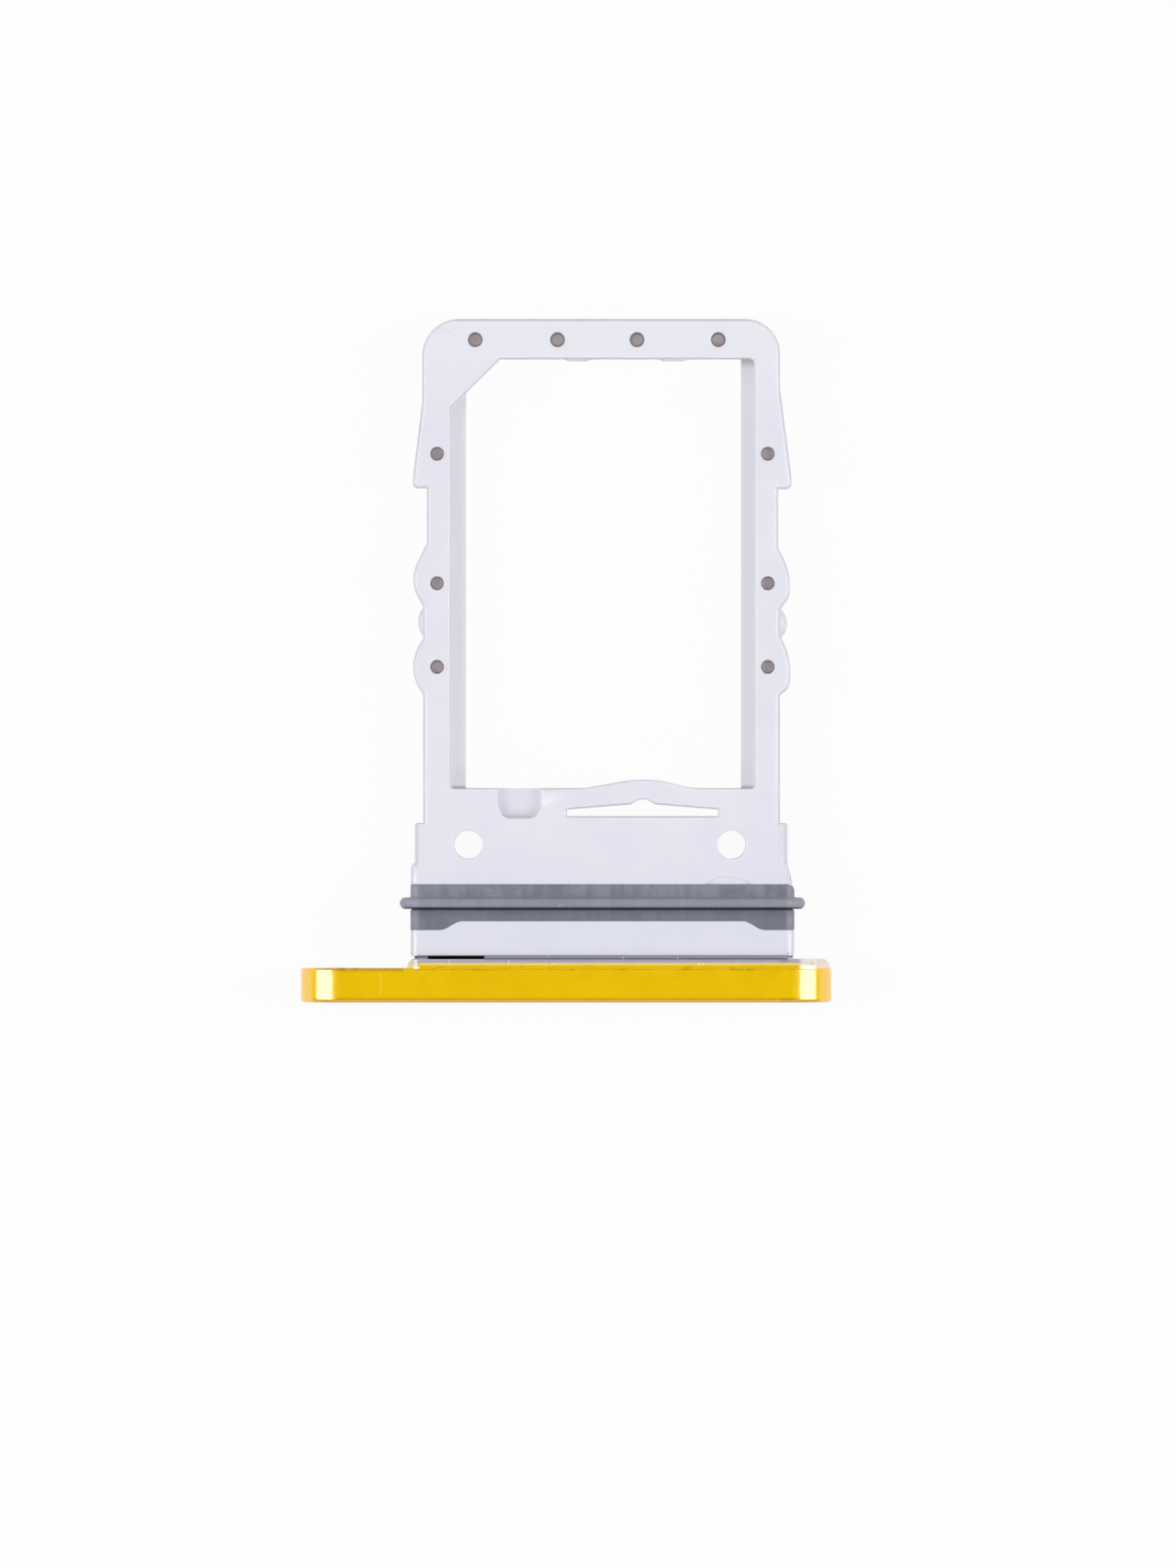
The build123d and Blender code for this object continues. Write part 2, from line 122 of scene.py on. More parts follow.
# Painted shadow in the pocket beside the tongue, and painted shade at the joint behind the neck, with
# small painted glints
POCKET_SHADOW = srgb(24, 23, 26)
STRIP_SHADE = srgb(178, 176, 189)
JOINT_LINE_SHADE = srgb(138, 138, 150)
JOINT_SHADE = srgb(112, 109, 116)
JOINT_SHADOW = srgb(62, 59, 66)
JOINT_BROWN_SHADE = srgb(112, 104, 108)
JOINT_GLINT = srgb(238, 238, 244)
SILICONE = srgb(115, 118, 131)
SILICONE_PALE = srgb(133, 136, 150)
# The lip and side colours are painted light, the near and deep ones painted shade and shadow on the seal
SILICONE_LIP_LIGHT = srgb(148, 151, 164)
SILICONE_NEAR_SHADE = srgb(108, 110, 123)
SILICONE_SIDE_LIGHT = srgb(172, 172, 184)
SILICONE_GROOVE_SHADOW = srgb(44, 44, 52)
SILICONE_FLECK = srgb(176, 177, 185)
YELLOW = srgb(251, 205, 1)
YELLOW_DEEP = srgb(246, 200, 1)
# The end yellow is a painted reflection of the floor on the bar's ends
YELLOW_END_REFLECTION = srgb(255, 201, 22)
YELLOW_BRIGHT = srgb(255, 226, 72)
YELLOW_PALE = srgb(255, 222, 84)
# The rim yellow and the next one are painted shade on the bar's front rounding and along its edges
YELLOW_RIM_SHADE = srgb(228, 174, 1)
YELLOW_EDGE_SHADE = srgb(214, 158, 12)
YELLOW_SMUDGE = srgb(150, 128, 14)
# The spot yellow marks dark spots and is painted shade in the crease between the pad and the bar
YELLOW_SPOT_AND_SHADE = srgb(165, 128, 10)
BARE_METAL = srgb(206, 203, 200)
# The white is a painted highlight on the pad's bare ends and marks small nicks; the beige is a painted
# reflection of the floor on its right end
BARE_HIGHLIGHT_AND_NICK = srgb(255, 254, 250)
BARE_PEACH = srgb(255, 238, 198)
BARE_BEIGE_REFLECTION = srgb(240, 226, 212)
BARE_GREY = srgb(208, 206, 211)
BARE_BLUE = srgb(140, 140, 156)
BARE_SHADE = srgb(122, 119, 126)
STEEL = srgb(227, 216, 211)
STEEL_DARK = srgb(211, 201, 197)
STEEL_RIM = srgb(150, 142, 138)


# A kind of smooth noise, with its scale in waves for each millimetre, and the range it mostly keeps to
Noise = namedtuple("Noise", "scale detail roughness")
USUAL = (0.3, 0.7)


def node(tree, kind, inputs=None, **settings):
    """Add a shader node. Each input is a plain value or the output socket that feeds it."""
    made = tree.nodes.new(kind)
    for name, value in settings.items():
        setattr(made, name, value)
    for name, value in (inputs or {}).items():
        feed(tree, made.inputs[name], value)
    return made


def feed(tree, socket, value):
    """Give a socket a plain value, or link an output to it."""
    if isinstance(value, bpy.types.NodeSocket):
        tree.links.new(value, socket)
    else:
        socket.default_value = value


def new_material(name):
    """A material with an empty node tree."""
    material = bpy.data.materials.new(name)
    material.use_nodes = True
    material.node_tree.nodes.clear()
    return material, material.node_tree


def finish_material(tree, shader):
    """Link a shader to the material's output."""
    node(tree, "ShaderNodeOutputMaterial", {"Surface": shader})


def millimetres(tree, stretch=(1.0, 1.0, 1.0)):
    """The point on the object, in millimetres, stretched along each axis."""
    place = node(tree, "ShaderNodeTexCoord").outputs["Object"]
    scale = [factor / MM for factor in stretch]
    return node(tree, "ShaderNodeMapping", {"Vector": place, "Scale": scale}).outputs["Vector"]


def noise(tree, place, kind):
    """Smooth noise from 0 to 1."""
    made = node(
        tree,
        "ShaderNodeTexNoise",
        {"Vector": place, "Scale": kind.scale, "Detail": kind.detail, "Roughness": kind.roughness},
    )
    return made.outputs["Fac"]


def remap(tree, value, low, high, to_low=0.0, to_high=1.0):
    """Stretch a value from one range to another and stop it at the ends."""
    made = node(
        tree,
        "ShaderNodeMapRange",
        {"Value": value, "From Min": low, "From Max": high, "To Min": to_low, "To Max": to_high},
        interpolation_type="SMOOTHSTEP",
    )
    return made.outputs["Result"]


def calculate(tree, operation, first, second):
    """One step of arithmetic on two values."""
    made = node(tree, "ShaderNodeMath", operation=operation)
    feed(tree, made.inputs[0], first)
    feed(tree, made.inputs[1], second)
    return made.outputs["Value"]


# Where a mix node has its share, its two colours and its mixed colour
MIX_SHARE = 0
MIX_COLOURS = (6, 7)
MIX_RESULT = 2


def blend_colours(tree, share, first, second):
    """A colour between two others."""
    made = node(tree, "ShaderNodeMix", data_type="RGBA", clamp_factor=True)
    feed(tree, made.inputs[MIX_SHARE], share)
    for place, colour in zip(MIX_COLOURS, (first, second)):
        feed(tree, made.inputs[place], colour)
    return made.outputs[MIX_RESULT]


def tint(tree, colour, mask, share, other):
    """Lay another colour over one where a mask is, as strongly as a share says."""
    return blend_colours(tree, calculate(tree, "MULTIPLY", mask, share), colour, other)


def axes(tree, place):
    """The X, Y and Z of a point."""
    split = node(tree, "ShaderNodeSeparateXYZ", {"Vector": place})
    return split.outputs["X"], split.outputs["Y"], split.outputs["Z"]


def inside(tree, value, low, high, edge):
    """A mask that is 1 between two values and fades out over a narrow edge."""
    rising = remap(tree, value, low - edge, low + edge)
    falling = remap(tree, value, high - edge, high + edge, 1.0, 0.0)
    return calculate(tree, "MULTIPLY", rising, falling)


# A mark painted on a surface: its Xs and Ys, how soft its edges are, its colour and how strong it is
Mark = namedtuple("Mark", "left right near far soft colour share")


def paint(tree, colour, x, y, marks, where=1.0):
    """Paint marks over a colour, one after another."""
    for mark in marks:
        across = inside(tree, x, mark.left, mark.right, mark.soft)
        along = inside(tree, y, mark.near, mark.far, mark.soft)
        mask = calculate(tree, "MULTIPLY", calculate(tree, "MULTIPLY", across, along), where)
        colour = tint(tree, colour, mask, mark.share, mark.colour)
    return colour


def bump(tree, height, distance, strength=1.0):
    """Surface relief from a height, with its depth in millimetres."""
    made = node(
        tree,
        "ShaderNodeBump",
        {"Height": height, "Distance": distance * MM, "Strength": strength},
    )
    return made.outputs["Normal"]


# The joint between the neck and the pad: painted shade on the neck's edge, on the low strip and darker
# on the strip's shaded side, a painted shadow filling the open pocket beside the tongue and its narrow
# tail, and small marks with painted glints
JOINT_MARKS = (
    Mark(-5.70, 5.40, 0.20, 0.342, 0.010, STRIP_SHADE, 1.0),
    Mark(-3.44, 5.40, 0.20, 0.290, 0.010, JOINT_SHADE, 1.0),
    Mark(-5.40, 5.40, 0.342, 0.380, 0.010, JOINT_LINE_SHADE, 1.0),
    Mark(-5.50, -5.05, 0.305, 0.345, 0.010, JOINT_BROWN_SHADE, 1.0),
    Mark(-5.49, -5.40, 0.295, 0.355, 0.014, JOINT_SHADOW, 1.0),
    Mark(-5.10, -3.44, 0.20, 0.360, 0.010, POCKET_SHADOW, 1.0),
    Mark(-1.585, -1.565, 0.335, 0.375, 0.008, JOINT_GLINT, 0.9),
    Mark(-1.560, -1.540, 0.20, 0.340, 0.006, JOINT_SHADE, 0.7),
    Mark(0.600, 0.640, 0.20, 0.335, 0.010, JOINT_GLINT, 0.7),
    Mark(0.640, 0.665, 0.20, 0.335, 0.008, JOINT_SHADE, 0.7),
    Mark(2.180, 2.220, 0.20, 0.335, 0.010, JOINT_GLINT, 0.6),
    Mark(2.220, 2.245, 0.20, 0.335, 0.008, JOINT_SHADE, 0.6),
    Mark(5.395, 5.425, 0.340, 0.460, 0.012, JOINT_LINE_SHADE, 0.7),
    Mark(5.41, 5.70, 0.315, 0.358, 0.010, JOINT_SHADOW, 0.9),
)

# Painted shade and light: the moulding is painted a little darker by the seal and lighter at its far end
NEAR_SHADE_SPAN = (1.3, 4.2)
NEAR_SHADE_SHARE = 0.8
FAR_LIGHT_SPAN = (15.5, 18.2)
FAR_LIGHT_SHARE = 0.7

# Painted light and shade: the ledges are painted lighter as if lit from all sides, the edges get a
# painted highlight, and the flanks below them painted shade
LEDGE_HEIGHT = 0.09
LEDGE_SOFT = 0.05
EDGE_LOW = 0.040
EDGE_HIGH = 0.009
EDGE_SHARE = 0.30
FLANK_LOW = 0.130
FLANK_HIGH = 0.075
FLANK_SOFT = 0.015
FLANK_SHARE = 0.7

# The painted shade on the flanks is weaker at the far edge and left off the bevel of the pocket's near
# wall, as these are lit nearly as much as the top
FAR_FLANK = (18.0, 18.7)
FAR_FLANK_SHARE = 0.25
NEAR_WALL = (5.12, 5.30)
NEAR_WALL_SOFT = 0.03

# The neck's leaning side is shaded
LEAN_MARKS = (
    Mark(5.40, 5.70, 2.48, 3.05, 0.030, PLASTIC_FLANK_SHADE, 0.9),
)

# The pocket's walls shade the ledges' ends
LEDGE_MARKS = (
    Mark(-4.60, -3.90, 5.10, 5.31, 0.035, LEDGE_SHADE, 0.9),
    Mark(3.90, 4.60, 5.10, 5.31, 0.035, LEDGE_SHADE, 0.9),
    Mark(3.90, 4.60, 17.60, 17.90, 0.120, LEDGE_SHADE, 0.9),
)

# The moulding's mottling, its fine grain and its gloss
PLASTIC_MOTTLE = Noise(scale=0.55, detail=3.0, roughness=0.55)
PLASTIC_TONES = (0.36, 0.64)
PLASTIC_GRAIN = Noise(scale=28.0, detail=3.0, roughness=0.6)
PLASTIC_GRAIN_DEPTH = 0.0012
PLASTIC_HAZE = Noise(scale=3.0, detail=2.0, roughness=0.5)
PLASTIC_ROUGHNESS = (0.30, 0.36)
PLASTIC_IOR = 1.5


def moulded_plastic():
    """Lilac-white moulded plastic with a fine satin grain, and painted light and shade on its ledges,
    edges, flanks and joint.
    """
    material, tree = new_material("moulded_plastic")
    place = millimetres(tree)
    x, y, z = axes(tree, place)
    tones = remap(tree, noise(tree, place, PLASTIC_MOTTLE), *PLASTIC_TONES)
    colour = blend_colours(tree, tones, PLASTIC_COOL, PLASTIC_WARM)
    # Painted shade by the seal and painted light at the far end
    near = remap(tree, y, *NEAR_SHADE_SPAN, 1.0, 0.0)
    colour = tint(tree, colour, near, NEAR_SHADE_SHARE, PLASTIC_NEAR_SHADE)
    colour = tint(tree, colour, remap(tree, y, *FAR_LIGHT_SPAN), FAR_LIGHT_SHARE, PLASTIC_FAR_LIGHT)
    # Painted light on the ledges, a painted highlight on the top edges and painted shade on the flanks
    # below them
    ledge = remap(tree, z, LEDGE_HEIGHT, LEDGE_HEIGHT + LEDGE_SOFT, 1.0, 0.0)
    colour = blend_colours(tree, ledge, colour, PLASTIC_LEDGE_LIGHT)
    edge = inside(tree, z, NECK_TOP - EDGE_LOW, NECK_TOP - EDGE_HIGH, EDGE_HIGH)
    colour = tint(tree, colour, edge, EDGE_SHARE, PLASTIC_EDGE_HIGHLIGHT)
    flank = inside(tree, z, NECK_TOP - FLANK_LOW, NECK_TOP - FLANK_HIGH, FLANK_SOFT)
    flank = calculate(tree, "MULTIPLY", flank, remap(tree, y, *FAR_FLANK, 1.0, FAR_FLANK_SHARE))
    flank = calculate(tree, "SUBTRACT", flank, inside(tree, y, *NEAR_WALL, NEAR_WALL_SOFT))
    colour = tint(tree, colour, flank, FLANK_SHARE, PLASTIC_FLANK_SHADE)
    # Painted shade at the ledges' ends, on the leaning side and at the joint, and a painted shadow in
    # the pocket beside the tongue
    colour = paint(tree, colour, x, y, LEDGE_MARKS, ledge)
    colour = paint(tree, colour, x, y, LEAN_MARKS + JOINT_MARKS)
    shader = node(
        tree,
        "ShaderNodeBsdfPrincipled",
        {
            "Base Color": colour,
            "Roughness": remap(tree, noise(tree, place, PLASTIC_HAZE), *USUAL, *PLASTIC_ROUGHNESS),
            "IOR": PLASTIC_IOR,
            "Normal": bump(tree, noise(tree, place, PLASTIC_GRAIN), PLASTIC_GRAIN_DEPTH),
        },
    )
    finish_material(tree, shader.outputs["BSDF"])
    return material


# Painted shade and light on the seal: its near half is painted a little darker, in the lip's shade, its
# lip a little lighter than its far half, its rounded sides lighter where they catch the light, and its
# groove dark as shadow
SEAL_NEAR_SHADE_SHARE = 0.6
LIP_LIGHT_SHARE = 0.6
GROOVE_SOFT = 0.016
SIDE_START = 5.30
SIDE_SOFT = 0.14
SIDE_LIGHT_SHARE = 0.35

# Its clouds and streaks, the flecks of lint on it, and its grain
SILICONE_CLOUD = Noise(scale=1.6, detail=3.0, roughness=0.6)
SILICONE_CLOUD_SHARE = 0.6
SILICONE_STREAK = Noise(scale=1.0, detail=2.0, roughness=0.5)
SILICONE_STREAK_STRETCH = (5.0, 0.7, 1.0)
SILICONE_TONES = (0.38, 0.62)
LINT = Noise(scale=9.0, detail=1.0, roughness=0.5)
LINT_RANGE = (0.75, 0.81)
SILICONE_GRAIN = Noise(scale=40.0, detail=2.0, roughness=0.6)
SILICONE_GRAIN_DEPTH = 0.002
SILICONE_ROUGHNESS = 0.46
SILICONE_IOR = 1.43


def silicone():
    """Grey silicone, faintly streaked, with a few pale flecks of lint, and painted light and shade on
    its lip, sides, near half and groove.
    """
    material, tree = new_material("silicone")
    place = millimetres(tree)
    x, y = axes(tree, place)[:2]
    cloud = calculate(tree, "MULTIPLY", noise(tree, place, SILICONE_CLOUD), SILICONE_CLOUD_SHARE)
    streak = noise(tree, millimetres(tree, SILICONE_STREAK_STRETCH), SILICONE_STREAK)
    streak = calculate(tree, "MULTIPLY", streak, 1 - SILICONE_CLOUD_SHARE)
    tones = remap(tree, calculate(tree, "ADD", cloud, streak), *SILICONE_TONES)
    colour = blend_colours(tree, tones, SILICONE, SILICONE_PALE)
    # Painted shade on the near half, painted light on the lip and rounded sides, and a painted shadow in
    # the groove
    near = remap(tree, y, LIP_ROOT_NEAR - GROOVE_SOFT, LIP_ROOT_NEAR, 1.0, 0.0)
    colour = tint(tree, colour, near, SEAL_NEAR_SHADE_SHARE, SILICONE_NEAR_SHADE)
    lip = inside(tree, y, LIP_ROOT_NEAR, LIP_ROOT_FAR, GROOVE_SOFT)
    colour = tint(tree, colour, lip, LIP_LIGHT_SHARE, SILICONE_LIP_LIGHT)
    side = remap(tree, calculate(tree, "ABSOLUTE", x, 0.0), SIDE_START, SIDE_START + SIDE_SOFT)
    colour = tint(tree, colour, side, SIDE_LIGHT_SHARE, SILICONE_SIDE_LIGHT)
    groove = inside(tree, y, LIP_ROOT_NEAR - LIP_GROOVE_WIDTH, LIP_ROOT_NEAR, GROOVE_SOFT)
    colour = blend_colours(tree, groove, colour, SILICONE_GROOVE_SHADOW)
    fleck = remap(tree, noise(tree, place, LINT), *LINT_RANGE)
    colour = blend_colours(tree, fleck, colour, SILICONE_FLECK)
    shader = node(
        tree,
        "ShaderNodeBsdfPrincipled",
        {
            "Base Color": colour,
            "Roughness": SILICONE_ROUGHNESS,
            "IOR": SILICONE_IOR,
            "Normal": bump(tree, noise(tree, place, SILICONE_GRAIN), SILICONE_GRAIN_DEPTH),
        },
    )
    finish_material(tree, shader.outputs["BSDF"])
    return material


# Where the cap's dye ends on the pad's rear edge, and how far that edge wanders
DYE_END = 0.130
DYE_EDGE = 0.022
DYE_WANDER = 0.006
DYE_WAVES = Noise(scale=1.1, detail=1.0, roughness=0.5)

# The smudged edges of its bar
REAR_SMUDGES = (-0.07, 0.05)
FRONT_SMUDGES = (-1.05, -0.89)
SMUDGE_SOFT = 0.03
SMUDGE_PATCHES = Noise(scale=2.2, detail=4.0, roughness=0.5)
SMUDGE_STRETCH = (1.0, 2.0, 2.0)
SMUDGE_RANGE = (0.52, 0.68)
SMUDGE_SHARE = 0.5
SMUDGED_ABOVE = 1.00

# Painted reflection: the bar's ends are painted paler than its top, as the white floor's reflection
PALE_LEFT = (-8.51, -8.47)
PALE_RIGHT = (6.36, 6.40)

# The pad's bare ends, round which the marks run: bare metal with painted highlights, and a painted
# reflection of the floor at the right end
PAD_END_MARKS = (
    Mark(-5.90, -5.50, 0.125, 0.30, 0.020, BARE_GREY, 1.0),
    Mark(-5.90, -5.51, -0.02, 0.125, 0.020, YELLOW_PALE, 1.0),
    Mark(-5.500, -5.390, -0.03, 0.262, 0.020, BARE_HIGHLIGHT_AND_NICK, 1.0),
    Mark(5.78, 6.30, 0.040, 0.340, 0.090, BARE_HIGHLIGHT_AND_NICK, 1.0),
    Mark(6.050, 6.190, 0.035, 0.190, 0.040, BARE_PEACH, 1.0),
    Mark(6.240, 6.90, 0.010, 0.30, 0.030, BARE_BEIGE_REFLECTION, 1.0),
    Mark(6.175, 6.235, 0.050, 0.255, 0.022, BARE_HIGHLIGHT_AND_NICK, 0.8),
)

# Only the cap's upper side has the smaller marks: the pad's shaded rear edge, nicks, spots, painted
# shade on the front rounding, along the edges and in the crease behind the bar, smudged places, and a
# fine bright scratch across the bar
MARKED_ABOVE = (0.70, 0.80)
CAP_MARKS = (
    Mark(-5.05, -3.44, 0.255, 0.30, 0.020, BARE_SHADE, 0.9),
    Mark(-3.44, 5.42, 0.232, 0.30, 0.014, BARE_SHADE, 0.9),
    Mark(5.20, 5.42, 0.185, 0.235, 0.040, BARE_BLUE, 0.7),
    Mark(-4.482, -4.458, 0.135, 0.25, 0.014, BARE_HIGHLIGHT_AND_NICK, 0.9),
    Mark(-4.482, -4.458, -0.02, 0.135, 0.014, YELLOW_PALE, 0.8),
    Mark(-2.752, -2.724, 0.120, 0.23, 0.014, BARE_HIGHLIGHT_AND_NICK, 0.8),
    Mark(-2.710, -2.685, 0.00, 0.060, 0.018, YELLOW_SPOT_AND_SHADE, 0.5),
    Mark(-1.560, -1.543, -0.01, 0.23, 0.010, YELLOW_SPOT_AND_SHADE, 0.4),
    Mark(2.78, 2.84, 0.095, 0.125, 0.018, BARE_HIGHLIGHT_AND_NICK, 0.7),
    Mark(2.90, 2.96, 0.100, 0.125, 0.018, BARE_HIGHLIGHT_AND_NICK, 0.6),
    # Painted shade on the front rounding and along the front edge
    Mark(-8.42, 6.32, -1.10, -0.900, 0.018, YELLOW_RIM_SHADE, 0.9),
    Mark(-7.80, 6.00, -0.915, -0.865, 0.020, YELLOW_EDGE_SHADE, 0.7),
    # Painted shade in the crease between the pad and the bar
    Mark(-5.40, 5.70, 0.005, 0.035, 0.035, YELLOW_SPOT_AND_SHADE, 0.2),
    Mark(5.20, 5.60, -0.950, -0.890, 0.050, YELLOW_SPOT_AND_SHADE, 0.5),
    # Painted shade along the rear edge
    Mark(-8.34, -5.80, -0.090, 0.06, 0.045, YELLOW_EDGE_SHADE, 0.75),
    Mark(-8.30, -7.76, -0.080, 0.06, 0.050, YELLOW_EDGE_SHADE, 0.5),
    Mark(-7.72, -7.49, -0.040, 0.06, 0.050, YELLOW_SMUDGE, 0.8),
    Mark(-7.30, -7.12, -0.040, 0.06, 0.040, YELLOW_SMUDGE, 0.7),
    Mark(-6.55, -6.25, -0.030, 0.06, 0.050, YELLOW_SMUDGE, 0.4),
    Mark(-4.38, -4.33, -0.020, 0.010, 0.025, YELLOW_SPOT_AND_SHADE, 0.6),
    Mark(4.39, 4.43, -0.020, 0.005, 0.025, YELLOW_SPOT_AND_SHADE, 0.7),
    Mark(-6.484, -6.456, -0.78, -0.11, 0.018, YELLOW_BRIGHT, 0.8),
)

# The dye's clouds, the metal's fine lines and satin, and the slow unevenness that mottles its highlights
DYE_CLOUD = Noise(scale=0.7, detail=3.0, roughness=0.6)
DYE_TONES = (0.35, 0.65)
FINE_LINES = Noise(scale=1.0, detail=3.0, roughness=0.7)
FINE_LINES_STRETCH = (1.2, 60.0, 60.0)
SATIN = Noise(scale=55.0, detail=1.0, roughness=0.5)
SATIN_SHARE = 0.6
SATIN_DEPTH = 0.0003
CAP_HAZE = Noise(scale=5.0, detail=3.0, roughness=0.5)
CAP_ROUGHNESS = (0.46, 0.52)
CAP_METALLIC = 0.25
CAP_IOR = 1.5
COAT_MOTTLE = Noise(scale=6.0, detail=3.0, roughness=0.5)
COAT_MOTTLE_DEPTH = 0.0045
COAT_ROUGHNESS = 0.17
COAT_IOR = 1.95


def anodised_metal():
    """Yellow anodised aluminium, satin, bare at the rear edge of the pad, with painted highlights,
    reflections and shade on its ends and edges.
    """
    material, tree = new_material("anodised_metal")
    place = millimetres(tree)
    x, y, z = axes(tree, place)
    tones = remap(tree, noise(tree, place, DYE_CLOUD), *DYE_TONES)
    colour = blend_colours(tree, tones, YELLOW, YELLOW_DEEP)
    patches = noise(tree, millimetres(tree, SMUDGE_STRETCH), SMUDGE_PATCHES)
    patches = remap(tree, patches, *SMUDGE_RANGE)
    rear = inside(tree, y, *REAR_SMUDGES, SMUDGE_SOFT)
    front = inside(tree, y, *FRONT_SMUDGES, SMUDGE_SOFT)
    edges = calculate(tree, "MULTIPLY", calculate(tree, "MAXIMUM", rear, front), patches)
    edges = calculate(tree, "MULTIPLY", edges, remap(tree, z, SMUDGED_ABOVE, CAP_TOP))
    colour = tint(tree, colour, edges, SMUDGE_SHARE, YELLOW_SMUDGE)
    # Painted reflection of the floor on the bar's ends
    pale = calculate(tree, "MAXIMUM", remap(tree, x, *PALE_RIGHT), remap(tree, x, *PALE_LEFT, 1.0, 0.0))
    colour = blend_colours(tree, pale, colour, YELLOW_END_REFLECTION)
    wander = remap(tree, noise(tree, place, DYE_WAVES), *USUAL, -DYE_WANDER, DYE_WANDER)
    bare = remap(tree, calculate(tree, "ADD", y, wander), DYE_END - DYE_EDGE, DYE_END + DYE_EDGE)
    colour = blend_colours(tree, bare, colour, BARE_METAL)
    # Painted highlights and a painted reflection on the pad's bare ends, then nicks, spots, smudges and
    # painted shade on the upper side
    colour = paint(tree, colour, x, y, PAD_END_MARKS)
    colour = paint(tree, colour, x, y, CAP_MARKS, remap(tree, z, *MARKED_ABOVE))
    lines = noise(tree, millimetres(tree, FINE_LINES_STRETCH), FINE_LINES)
    satin = calculate(tree, "MULTIPLY", noise(tree, place, SATIN), SATIN_SHARE)
    shader = node(
        tree,
        "ShaderNodeBsdfPrincipled",
        {
            "Base Color": colour,
            "Metallic": CAP_METALLIC,
            "Roughness": remap(tree, noise(tree, place, CAP_HAZE), *USUAL, *CAP_ROUGHNESS),
            "IOR": CAP_IOR,
            "Specular IOR Level": 0.0,
            "Coat Weight": 1.0,
            "Coat Roughness": COAT_ROUGHNESS,
            "Coat IOR": COAT_IOR,
            "Coat Normal": bump(tree, noise(tree, place, COAT_MOTTLE), COAT_MOTTLE_DEPTH),
            "Normal": bump(tree, calculate(tree, "ADD", lines, satin), SATIN_DEPTH),
        },
    )
    finish_material(tree, shader.outputs["BSDF"])
    return material


# Where the pin holes show the steel insert, and the shade round the foot of each hole
RIM_PINS_Y = 18.34
RIM_PINS_X = (-3.71, -1.31, 1.01, 3.38)
RAIL_PINS_X = (-4.825, 4.825)
RAIL_PINS_Y = (15.01, 11.23, 8.79)
PIN_SHADE = (0.125, 0.215)


def pin_shade(tree, place):
    """A mask that rises from the middle of each pin hole to its wall."""
    centres = [(x, RIM_PINS_Y) for x in RIM_PINS_X]
    centres += [(x, y) for x in RAIL_PINS_X for y in RAIL_PINS_Y]
    x, y = axes(tree, place)[:2]
    nearest = PIN_SHADE[1]
    for centre_x, centre_y in centres:
        across = calculate(tree, "SUBTRACT", x, centre_x)
        along = calculate(tree, "SUBTRACT", y, centre_y)
        squares = [calculate(tree, "MULTIPLY", offset, offset) for offset in (across, along)]
        distance = calculate(tree, "SQRT", calculate(tree, "ADD", *squares), 0.0)
        nearest = calculate(tree, "MINIMUM", nearest, distance)
    return remap(tree, nearest, *PIN_SHADE)


# The steel's rolled grain, its blotches and its gloss
STEEL_GRAIN = Noise(scale=1.0, detail=4.0, roughness=0.7)
STEEL_GRAIN_STRETCH = (30.0, 2.0, 30.0)
STEEL_GRAIN_DEPTH = 0.002
STEEL_BLOTCH = Noise(scale=3.0, detail=2.0, roughness=0.5)
STEEL_TONES = (0.35, 0.65)
STEEL_ROUGHNESS = (0.35, 0.50)
STEEL_METALLIC = 0.2
STEEL_IOR = 1.5


def rolled_steel():
    """Dull rolled steel strip."""
    material, tree = new_material("rolled_steel")
    place = millimetres(tree)
    tones = remap(tree, noise(tree, place, STEEL_BLOTCH), *STEEL_TONES)
    colour = blend_colours(tree, tones, STEEL, STEEL_DARK)
    colour = blend_colours(tree, pin_shade(tree, place), colour, STEEL_RIM)
    grain = noise(tree, millimetres(tree, STEEL_GRAIN_STRETCH), STEEL_GRAIN)
    shader = node(
        tree,
        "ShaderNodeBsdfPrincipled",
        {
            "Base Color": colour,
            "Metallic": STEEL_METALLIC,
            "Roughness": remap(tree, grain, *USUAL, *STEEL_ROUGHNESS),
            "IOR": STEEL_IOR,
            "Normal": bump(tree, grain, STEEL_GRAIN_DEPTH),
        },
    )
    finish_material(tree, shader.outputs["BSDF"])
    return material


def floor_white():
    """White paper that the camera and mirror-like faces see as plain white, with a faint shadow."""
    material, tree = new_material("floor_white")
    rays = node(tree, "ShaderNodeLightPath").outputs
    seen = calculate(tree, "MAXIMUM", rays["Is Camera Ray"], rays["Is Glossy Ray"])
    seen = calculate(tree, "MAXIMUM", seen, rays["Is Transmission Ray"])
    share = calculate(tree, "MULTIPLY", seen, FLOOR_SEEN_SHARE)
    paper = node(tree, "ShaderNodeBsdfDiffuse", {"Color": (FLOOR_WHITE, FLOOR_WHITE, FLOOR_WHITE, 1.0)})
    plain = node(
        tree,
        "ShaderNodeEmission",
        {"Color": (FLOOR_SEEN_WHITE, FLOOR_SEEN_WHITE, FLOOR_SEEN_WHITE, 1.0), "Strength": 1.0},
    )
    mixed = node(tree, "ShaderNodeMixShader", {"Fac": share})
    feed(tree, mixed.inputs[1], paper.outputs["BSDF"])
    feed(tree, mixed.inputs[2], plain.outputs["Emission"])
    finish_material(tree, mixed.outputs["Shader"])
    return material


def dress(obj, material):
    """Give an object one material."""
    obj.data.materials.clear()
    obj.data.materials.append(material)


# How the moulding's faces are joined and its edges rounded, with angles in degrees
JOIN_REACH = 0.002
FLAT_ANGLE = 0.6
EDGE_ROUND = 0.03
EDGE_SEGMENTS = 3
SHARP_ANGLE = 60
SHADING_WEIGHT = 99


